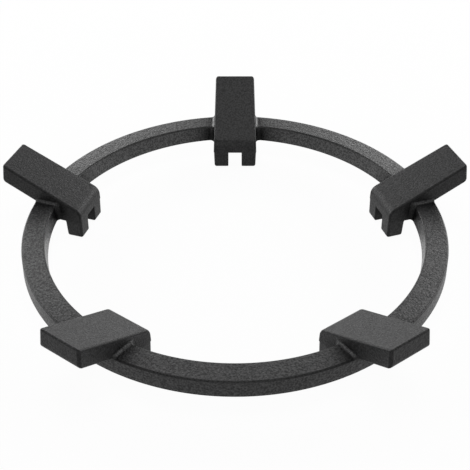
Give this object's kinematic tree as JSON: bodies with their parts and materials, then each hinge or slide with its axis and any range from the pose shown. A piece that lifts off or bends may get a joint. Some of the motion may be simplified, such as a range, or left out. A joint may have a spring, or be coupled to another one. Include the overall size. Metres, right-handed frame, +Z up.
{
  "type": "wok ring",
  "caption": "Cast-iron wok ring for a gas hob: a flat round band with sloping arms that cradle a round-bottomed wok and slotted feet that straddle the pan support.",
  "frame": {"origin": "on the band's axis, level with the centre of mass: the band's underside is 7.18 mm below it and the feet's ends are 17.88 mm below it", "axes": "+Z up along the band's axis, from the feet to the upper ends of the arms; +Y along the first arm, outwards; +X to the right, seen from the side opposite that arm"},
  "size_m": [0.2508, 0.2388, 0.0383],
  "materials": {
    "cast_iron": "matte, fine cast texture under a black coat"
  },
  "bodies": {
    "root": {"wok_ring": "cast_iron"}
  },
  "joints": []
}
